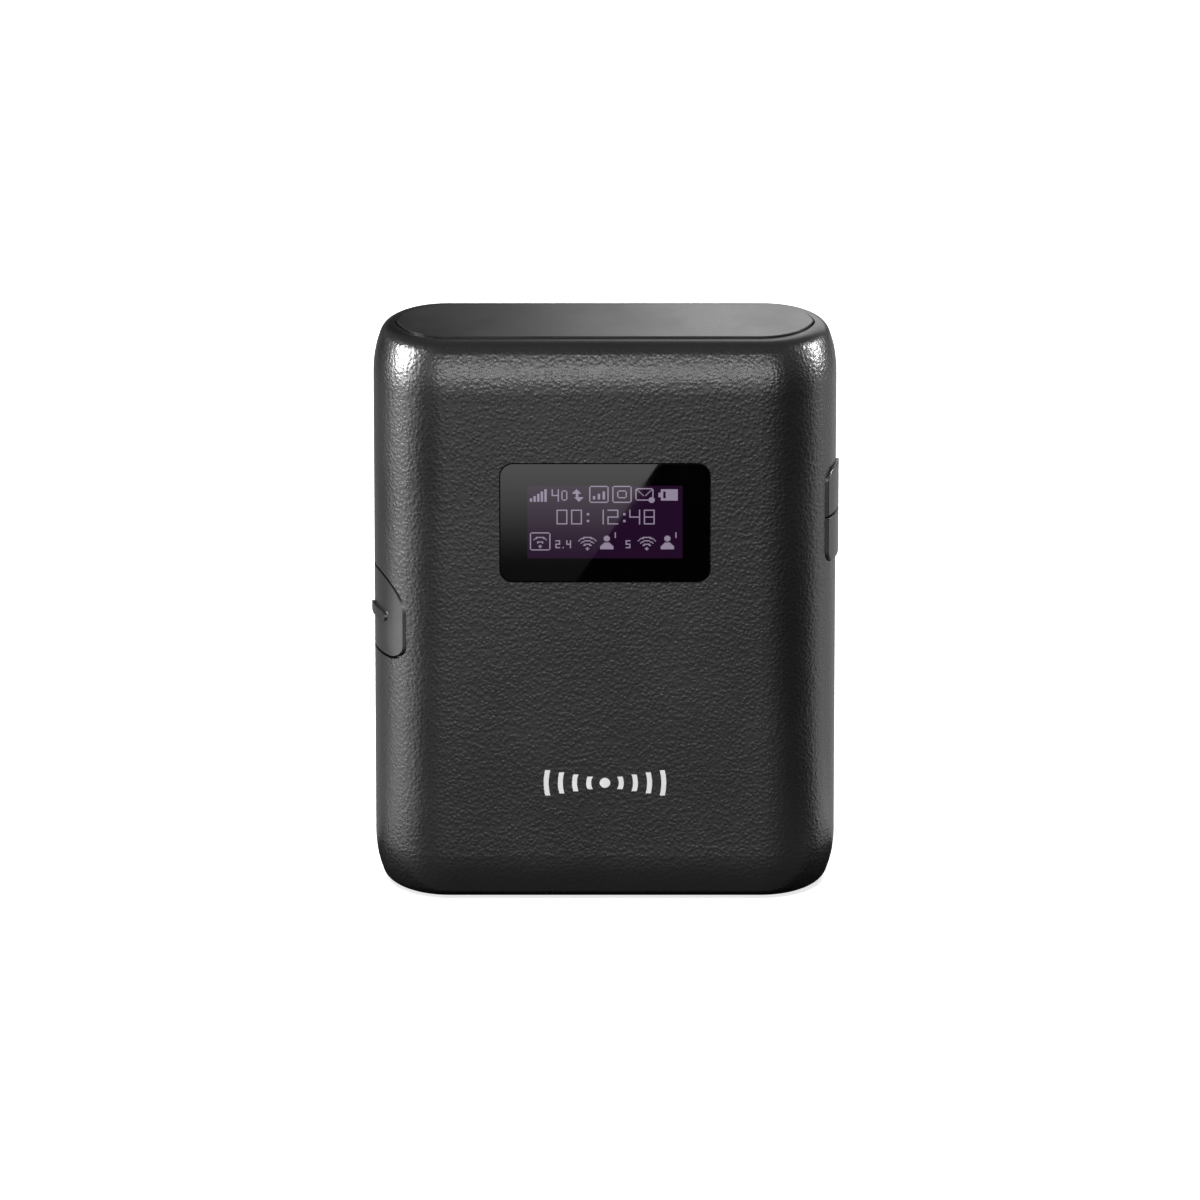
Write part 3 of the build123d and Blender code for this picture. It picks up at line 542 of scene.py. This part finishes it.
def draw_clock(picture):
    """Middle row: time on line, as digits."""
    left, top = 24, 21
    for sign in TIME_ON_LINE:
        if sign == ":":
            picture.bar(left + 1, top + 3, 2, 2)
            picture.bar(left + 1, top + 9, 2, 2)
            left += 6
        else:
            picture.digit(sign, left, top, 9, 13)
            left += 12


def draw_bands(picture):
    """Lower row: for each band its number, a wave fan and how many are using it."""
    top = 41
    picture.frame(2, top, 17, 16)
    picture.fan(10, top + 12, (4, 8), 0.75)
    picture.digit("2", 23, top + 7, 4, 7)
    picture.bar(29, top + 13, 1, 1)
    picture.digit("4", 32, top + 7, 4, 7)
    picture.digit("5", 81, top + 7, 4, 7)
    for fan_x in (49, 98):
        picture.fan(fan_x, top + 14, WAVES, 0.8)
    for person_x in (65, 115):
        picture.person(person_x, top + 2)
        picture.digit("1", person_x + 5, top, 3, 5)


def lit_runs(picture):
    """Joins lit dots that lie side by side, so each run is one block."""
    for row in range(GRID_HEIGHT):
        column = 0
        while column < GRID_WIDTH:
            if (column, row) not in picture.lit:
                column += 1
                continue
            start = column
            while (column, row) in picture.lit:
                column += 1
            yield start, column, row


def dot_blocks(display, left, top, back):
    """The lit dots as blocks, from the upper left corner of the lit area and its face."""
    picture = Picture()
    draw_status(picture)
    draw_clock(picture)
    draw_bands(picture)
    dot_x = display.lit_width / GRID_WIDTH
    dot_z = display.lit_height / GRID_HEIGHT
    for start, end, row in lit_runs(picture):
        high = top - row * dot_z
        yield (
            (left + start * dot_x, back - display.layer, high - dot_z),
            (left + end * dot_x, back, high))


# ---- Finishes of the parts -----------------------------------------------------------------------

LENS_BLACK = (0.0006, 0.0006, 0.0007)


class Moulding(NamedTuple):
    """A moulded finish and the parts inside the case that have it"""
    colour: tuple
    rough: float
    grain: float    # width of the grain
    depth: float    # depth of the grain
    parts: tuple


MOULDINGS = {
    "black_foam": Moulding(
        (0.02, 0.02, 0.02), 0.85, 0.15 * MM, 0.02 * MM, ("lens_tape", "oled_gasket")),
    "amber_film": Moulding((0.32, 0.13, 0.03), 0.35, 0.4 * MM, 0.002 * MM, ("oled_flex",)),
    "black_moulding": Moulding(
        (0.022, 0.022, 0.023), 0.5, 0.25 * MM, 0.004 * MM,
        ("oled_connector", "usb_port_tongue", "power_switch", "menu_switch", "battery_contacts")),
    "frame_plastic": Moulding(
        (0.06, 0.06, 0.064), 0.5, 0.3 * MM, 0.008 * MM,
        ("mid_frame", "power_plunger", "menu_plunger", "reset_plunger")),
    "chip_resin": Moulding(
        (0.018, 0.018, 0.019), 0.55, 0.1 * MM, 0.006 * MM,
        ("baseband_chip", "memory_chip", "power_chip", "wifi_chip")),
    "battery_wrap": Moulding(
        (0.03, 0.032, 0.036), 0.38, 1.2 * MM, 0.006 * MM, ("battery_pack",)),
    "sim_plastic": Moulding((0.75, 0.75, 0.72), 0.4, 0.5 * MM, 0.002 * MM, ("sim_card",)),
}


class Metal(NamedTuple):
    """A metal finish and the parts that have it"""
    colour: tuple
    rough: float
    parts: tuple


METALS = {
    "nickel_screw": Metal((0.55, 0.54, 0.52), 0.28, ("frame_screws",)),
    "plated_steel": Metal(
        (0.62, 0.61, 0.59), 0.26, ("usb_port_shell", "reset_switch", "sim_socket")),
    "tinned_sheet": Metal((0.7, 0.7, 0.69), 0.35, ("baseband_shield", "wifi_shield")),
    "gold_flash": Metal(
        (0.85, 0.6, 0.25), 0.22, ("battery_terminals", "contact_blades", "antenna_pins")),
    "copper_film": Metal(
        (0.72, 0.38, 0.2), 0.35, ("main_antenna", "diversity_antenna", "wifi_antennas")),
}


# ---- Operators -----------------------------------------------------------------------------------

class HOTSPOT_OT_case(bpy.types.Operator):
    """Finish the two halves of the case with leather grain and the end panels with satin"""
    bl_idname = "hotspot.case"
    bl_label = "Case"

    def execute(self, context):
        finish = settings("finish")
        satin = moulded("satin_panel", finish.panel, 0.3, 0.5 * MM, 0.0008 * MM)
        print_ink = moulded("mark_print", finish.mark, 0.35, 0.15 * MM, 0.003 * MM)
        give(leather(), "front_shell", "rear_cover")
        give(satin, "top_panel", "bottom_panel")
        give(print_ink, "front_mark")
        return {"FINISHED"}


class HOTSPOT_OT_controls(bpy.types.Operator):
    """Finish the port flap and the two buttons"""
    bl_idname = "hotspot.controls"
    bl_label = "Flap and buttons"

    def execute(self, context):
        trim = moulded("satin_trim", settings("finish").trim, 0.36, 0.2 * MM, 0.003 * MM)
        give(trim, "port_flap", "power_button", "menu_button")
        return {"FINISHED"}


class HOTSPOT_OT_display(bpy.types.Operator):
    """Finish the lens and the panel behind it, and draw the lit picture"""
    bl_idname = "hotspot.display"
    bl_label = "Display"

    def execute(self, context):
        display = settings("display")
        give(polished("display_lens", LENS_BLACK), "display_lens")
        give(polished("oled_glass", (0.012, 0.008, 0.02)), "oled_panel")
        middle = (LENS_LOW + LENS_HIGH) / 2
        left = middle.x - display.lit_width / 2
        top = middle.z + display.lit_height / 2 + display.lit_rise
        face = LENS_LOW.y - display.layer
        background = [(
            (left, face, top - display.lit_height), (left + display.lit_width, LENS_LOW.y, top))]
        dots = dot_blocks(display, left, top, face)
        layers = {"display_glow": (background, display.glow), "display_dots": (dots, display.dots)}
        for name, (blocks, colour) in layers.items():
            piece = block_piece(name, blocks, polished(name, LENS_BLACK, colour), "housing")
        return {"FINISHED"}


class HOTSPOT_OT_mouldings(bpy.types.Operator):
    """Finish the plastic, foam, film and resin parts inside the case"""
    bl_idname = "hotspot.mouldings"
    bl_label = "Inside mouldings"

    def execute(self, context):
        for name, made in MOULDINGS.items():
            give(moulded(name, made.colour, made.rough, made.grain, made.depth), *made.parts)
        return {"FINISHED"}


class HOTSPOT_OT_metals(bpy.types.Operator):
    """Finish the screws, shields, contacts, antennas and other metal parts"""
    bl_idname = "hotspot.metals"
    bl_label = "Metal parts"

    def execute(self, context):
        for name, made in METALS.items():
            give(metal(name, made.colour, made.rough), *made.parts)
        return {"FINISHED"}


class HOTSPOT_OT_board(bpy.types.Operator):
    """Finish the circuit board"""
    bl_idname = "hotspot.board"
    bl_label = "Circuit board"

    def execute(self, context):
        give(solder_mask(), "main_board")
        return {"FINISHED"}


# ---- Stage ---------------------------------------------------------------------------------------

VIEW_MIDDLE = Vector((-0.7 * MM, 0, TOP / 2))   # what the camera and the lights point at
FLOOR_REACH = 6.0               # half the floor's width
FLAG_Z = 0.3 * MM               # height of the black flag over the floor
CARD_Z = 1 * MM                 # height of the floor cards, over the flag
CARD_UNDER = 1 * MM             # how far a floor card reaches in under the case
STREAK_LEFT = -60 * MM          # left edge of the streak card
STREAK_DIM = 0.1                # brightness of its near end
STREAK_FADE_FAR, STREAK_FADE_NEAR = 70 * MM, 12 * MM    # plain stretches at its two ends
TOP_CARD_Y = 200 * MM           # the top card stands behind the case
TOP_CARD_REACH = 150 * MM       # half its width
TOP_CARD_LOW, TOP_CARD_HIGH = TOP + 25 * MM, TOP + 180 * MM
TOP_FADE = 25 * MM              # it fades within this distance of its middle
FAN_NEAR, FAN_FAR = 48 * MM, 3.0    # the side cards run from the case's wall far out
LEFT_FAN, RIGHT_FAN = (-60, -96), (87, 108)     # their azimuths, in degrees
LEFT_FAR_SHARE = 1.8            # the left card is that much brighter far out
LEFT_FADE = (-0.6, -0.1)        # where it fades, along X
NEAR_CARD_REACH = 50 * MM       # half the near card's width
NEAR_CARD_DEPTH = 112 * MM
NEAR_CARD_SHARE = 0.6           # its brightness at the foot of the case, against further out
NEAR_FADE = (-50 * MM, -12 * MM)    # where it fades, along Y
REAR_CARD_REACH = 250 * MM      # half the rear card's width
REAR_CARD_DEPTH = 450 * MM
REAR_CARD_SHARE = 0.3           # its brightness at the left, against the right
CAMERA_LENS, CAMERA_SENSOR = 425, 36    # millimetres
CAMERA_CLIP = 50


class Lamp(NamedTuple):
    """A rectangular soft light round the case, and the kind of light that it leaves out"""
    power: str          # the studio setting that holds its power
    azimuth: float      # degrees to the right of the front
    elevation: float    # degrees above the floor
    distance: float
    width: float
    height: float
    left_out: str


LAMPS = {
    "left_softbox": Lamp("left_power", -76, 13, 1.0, 0.3, 0.5, "visible_diffuse"),
    "right_strip": Lamp("right_power", 97, 16, 1.0, 0.1, 0.5, "visible_diffuse"),
    "front_light": Lamp("front_power", 0, 4, 2.4, 1.6, 0.3, "visible_diffuse"),
    "back_light": Lamp("back_power", 168, 30, 1.8, 0.8, 0.5, "visible_glossy"),
    "high_light": Lamp("high_power", -15, 62, 1.8, 1.2, 0.9, "visible_glossy"),
}


def around(azimuth, elevation, distance):
    """A place seen from the view's middle at an angle right of the front and above the floor."""
    turn = math.radians(azimuth)
    rise = math.radians(elevation)
    flat = math.cos(rise) * distance
    step = Vector((flat * math.sin(turn), -flat * math.cos(turn), math.sin(rise) * distance))
    return VIEW_MIDDLE + step


def stand(name, data, place):
    """Stands a lamp or a camera at a place, turned towards the view's middle."""
    thing = bpy.data.objects.new(name, data)
    thing.location = place
    thing.rotation_euler = (VIEW_MIDDLE - place).to_track_quat("-Z", "Y").to_euler()
    bpy.context.collection.objects.link(thing)
    return thing


def plate(name, corners, material):
    """A flat stage card through the given corners."""
    mesh = bpy.data.meshes.new(name)
    mesh.from_pydata(corners, [], [list(range(len(corners)))])
    mesh.materials.append(material)
    card = bpy.data.objects.new(name, mesh)
    bpy.context.collection.objects.link(card)
    return card


def unseen(name, corners, material):
    """A stage card that only shows in reflections, as one outside the picture does."""
    card = plate(name, corners, material)
    card.visible_camera = False
    card.visible_shadow = False


def rectangle(left, right, front, back, z):
    """Corners of a level rectangle."""
    return [(left, front, z), (right, front, z), (right, back, z), (left, back, z)]


def floor_fan(first, last):
    """Corners of a flat fan on the floor between two azimuths."""
    turns = ((first, FAN_NEAR), (first, FAN_FAR), (last, FAN_FAR), (last, FAN_NEAR))
    places = [around(azimuth, 0, distance) for azimuth, distance in turns]
    return [(place.x, place.y, CARD_Z) for place in places]


def emitter(name, glow):
    """A card material that shines evenly."""
    return Nodes(name).finish(
        Base_Color=BLACK, Roughness=1.0, Specular_IOR_Level=0.0,
        Emission_Color=WHITE, Emission_Strength=glow)


def fading_emitter(name, axis, start, end, glow_start, glow_end):
    """A card material that fades from one brightness to another between two places on an axis."""
    make = Nodes(name)
    fade = make.spread(make.along(axis), start, end, glow_start, glow_end)
    make.link(fade, make.shader.inputs["Emission Strength"])
    return make.finish(
        Base_Color=BLACK, Roughness=1.0, Specular_IOR_Level=0.0, Emission_Color=WHITE)


def add_floor(studio):
    """The pale floor, and a black flag over it that only reflections see."""
    paper = Nodes("pale_paper")
    fibre = paper.noise(3 * MM, 3)
    paper.finish(
        paper.colours(fibre, (0.93, 0.93, 0.93), (0.96, 0.96, 0.96)),
        paper.spread(fibre, 0.3, 0.7, 0.85, 0.95),
        Emission_Color=WHITE, Emission_Strength=studio.floor_glow)
    flag = Nodes("black_flag")
    flag.finish(
        flag.colours(flag.noise(8 * MM, 3), (0.001, 0.001, 0.001), (0.002, 0.002, 0.002)),
        Roughness=1.0, Specular_IOR_Level=0.0)
    sides = (-FLOOR_REACH, FLOOR_REACH, -FLOOR_REACH, FLOOR_REACH)
    plate("floor", rectangle(*sides, 0), paper.material)
    unseen("floor_flag", rectangle(*sides, FLAG_Z), flag.material)


def add_streak_card(studio):
    """The card with a sloping edge that makes the streak across the display lens."""
    near, far = FRONT - studio.streak_near, FRONT - studio.streak_far
    corners = [
        (STREAK_LEFT, near, CARD_Z), (studio.streak_edge_near, near, CARD_Z),
        (studio.streak_edge_far, far, CARD_Z), (STREAK_LEFT, far, CARD_Z)]
    unseen("streak_card", corners, fading_emitter(
        "streak_glow", "Y", far + STREAK_FADE_FAR, near - STREAK_FADE_NEAR,
        studio.streak_power, STREAK_DIM))


def add_top_card(studio):
    """The upright card behind the case that the end panel mirrors."""
    corners = [
        (x, TOP_CARD_Y, z) for x, z in (
            (-TOP_CARD_REACH, TOP_CARD_LOW), (TOP_CARD_REACH, TOP_CARD_LOW),
            (TOP_CARD_REACH, TOP_CARD_HIGH), (-TOP_CARD_REACH, TOP_CARD_HIGH))]
    unseen("top_card", corners, fading_emitter(
        "top_glow", "X", -TOP_FADE, TOP_FADE, studio.top_dark, studio.top_bright))


def add_floor_cards(studio):
    """The cards on the floor that the walls, the front and the back of the case mirror."""
    unseen("left_card", floor_fan(*LEFT_FAN), fading_emitter(
        "left_glow", "X", *LEFT_FADE, LEFT_FAR_SHARE * studio.left_glow, studio.left_glow))
    unseen("right_card", floor_fan(*RIGHT_FAN), emitter("right_glow", studio.right_glow))
    near_sides = (-NEAR_CARD_REACH, NEAR_CARD_REACH, FRONT - NEAR_CARD_DEPTH, FRONT + CARD_UNDER)
    unseen("near_card", rectangle(*near_sides, CARD_Z), fading_emitter(
        "near_glow", "Y", *NEAR_FADE, studio.near_glow, NEAR_CARD_SHARE * studio.near_glow))
    rear_sides = (-REAR_CARD_REACH, REAR_CARD_REACH, BACK - CARD_UNDER, BACK + REAR_CARD_DEPTH)
    unseen("rear_card", rectangle(*rear_sides, CARD_Z), fading_emitter(
        "rear_glow", "X", -REAR_CARD_REACH, REAR_CARD_REACH,
        REAR_CARD_SHARE * studio.rear_glow, studio.rear_glow))


def add_surround(scene, studio):
    """The even light from all round."""
    scene.world = bpy.data.worlds.new("studio")
    scene.world.use_nodes = True
    surround = scene.world.node_tree.nodes["Background"]
    surround.inputs["Color"].default_value = WHITE
    surround.inputs["Strength"].default_value = studio.fill


def add_lamp(name, lamp, power):
    """One rectangular soft light."""
    data = bpy.data.lights.new(name, "AREA")
    data.energy = power
    data.shape = "RECTANGLE"
    data.size = lamp.width
    data.size_y = lamp.height
    light = stand(name, data, around(lamp.azimuth, lamp.elevation, lamp.distance))
    setattr(light, lamp.left_out, False)


def add_camera(scene, studio):
    """The camera, straight in front and a little above."""
    lens = bpy.data.cameras.new("camera")
    lens.sensor_width = CAMERA_SENSOR
    lens.lens = CAMERA_LENS
    lens.clip_end = CAMERA_CLIP
    height = math.degrees(studio.camera_height)
    scene.camera = stand("camera", lens, around(0, height, studio.camera_distance))


class HOTSPOT_OT_stage(bpy.types.Operator):
    """Set up the pale floor, the soft studio light and the camera"""
    bl_idname = "hotspot.stage"
    bl_label = "Studio"

    def execute(self, context):
        studio = settings("studio")
        context.scene.view_settings.view_transform = "Standard"
        add_floor(studio)
        add_streak_card(studio)
        add_top_card(studio)
        add_floor_cards(studio)
        add_surround(context.scene, studio)
        for name, lamp in LAMPS.items():
            add_lamp(name, lamp, getattr(studio, lamp.power))
        add_camera(context.scene, studio)
        return {"FINISHED"}


class HOTSPOT_PT_panel(bpy.types.Panel):
    """Lists the steps and settings"""
    bl_idname = "HOTSPOT_PT_panel"
    bl_label = "Pocket Hotspot"
    bl_space_type = "VIEW_3D"
    bl_region_type = "UI"
    bl_category = "Hotspot"

    def draw(self, context):
        for step in STEPS:
            self.layout.operator(step.bl_idname)
        for group in GROUPS:
            block = getattr(context.scene, group)
            for name in block.__annotations__:
                self.layout.prop(block, name)


STEPS = (
    HOTSPOT_OT_case, HOTSPOT_OT_controls, HOTSPOT_OT_display, HOTSPOT_OT_mouldings,
    HOTSPOT_OT_metals, HOTSPOT_OT_board, HOTSPOT_OT_stage)
GROUPS = {
    "hotspot_finish": HotspotFinish, "hotspot_display": HotspotDisplay,
    "hotspot_studio": HotspotStudio}
CLASSES = (*GROUPS.values(), *STEPS, HOTSPOT_PT_panel)


def register():
    for kind in CLASSES:
        bpy.utils.register_class(kind)
    for name, kind in GROUPS.items():
        setattr(bpy.types.Scene, name, PointerProperty(type=kind))


def unregister():
    for name in GROUPS:
        delattr(bpy.types.Scene, name)
    for kind in reversed(CLASSES):
        bpy.utils.unregister_class(kind)


def main():
    register()
    bpy.ops.hotspot.case()
    bpy.ops.hotspot.controls()
    bpy.ops.hotspot.display()
    bpy.ops.hotspot.mouldings()
    bpy.ops.hotspot.metals()
    bpy.ops.hotspot.board()
    bpy.ops.hotspot.stage()


if __name__ == "__main__":
    main()
